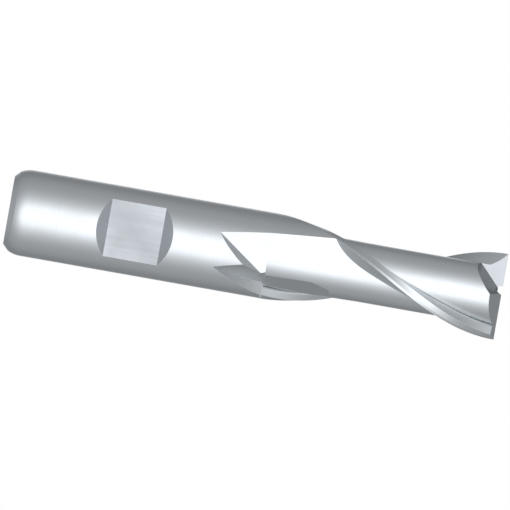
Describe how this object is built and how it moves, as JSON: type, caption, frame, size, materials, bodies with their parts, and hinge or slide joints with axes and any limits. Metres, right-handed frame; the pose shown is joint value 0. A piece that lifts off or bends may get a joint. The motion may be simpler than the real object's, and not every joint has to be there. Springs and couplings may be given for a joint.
{
  "type": "end mill",
  "caption": "Two-flute centre-cutting end mill with a right-hand helix and a cylindrical shank that has a side-lock clamping flat.",
  "frame": {"origin": "centre of the shank's end face, on the tool's axis", "axes": "+Z along the axis from the shank end to the cutting end; the clamping flat faces -Y; one tooth meets the tip at +X"},
  "size_m": [0.016, 0.016, 0.092],
  "materials": {
    "shank_steel": "cylindrically ground alloy steel",
    "tool_steel": "ground bright high-speed steel"
  },
  "bodies": {
    "root": {"shank": "shank_steel", "fluted_head": "tool_steel"}
  },
  "joints": []
}
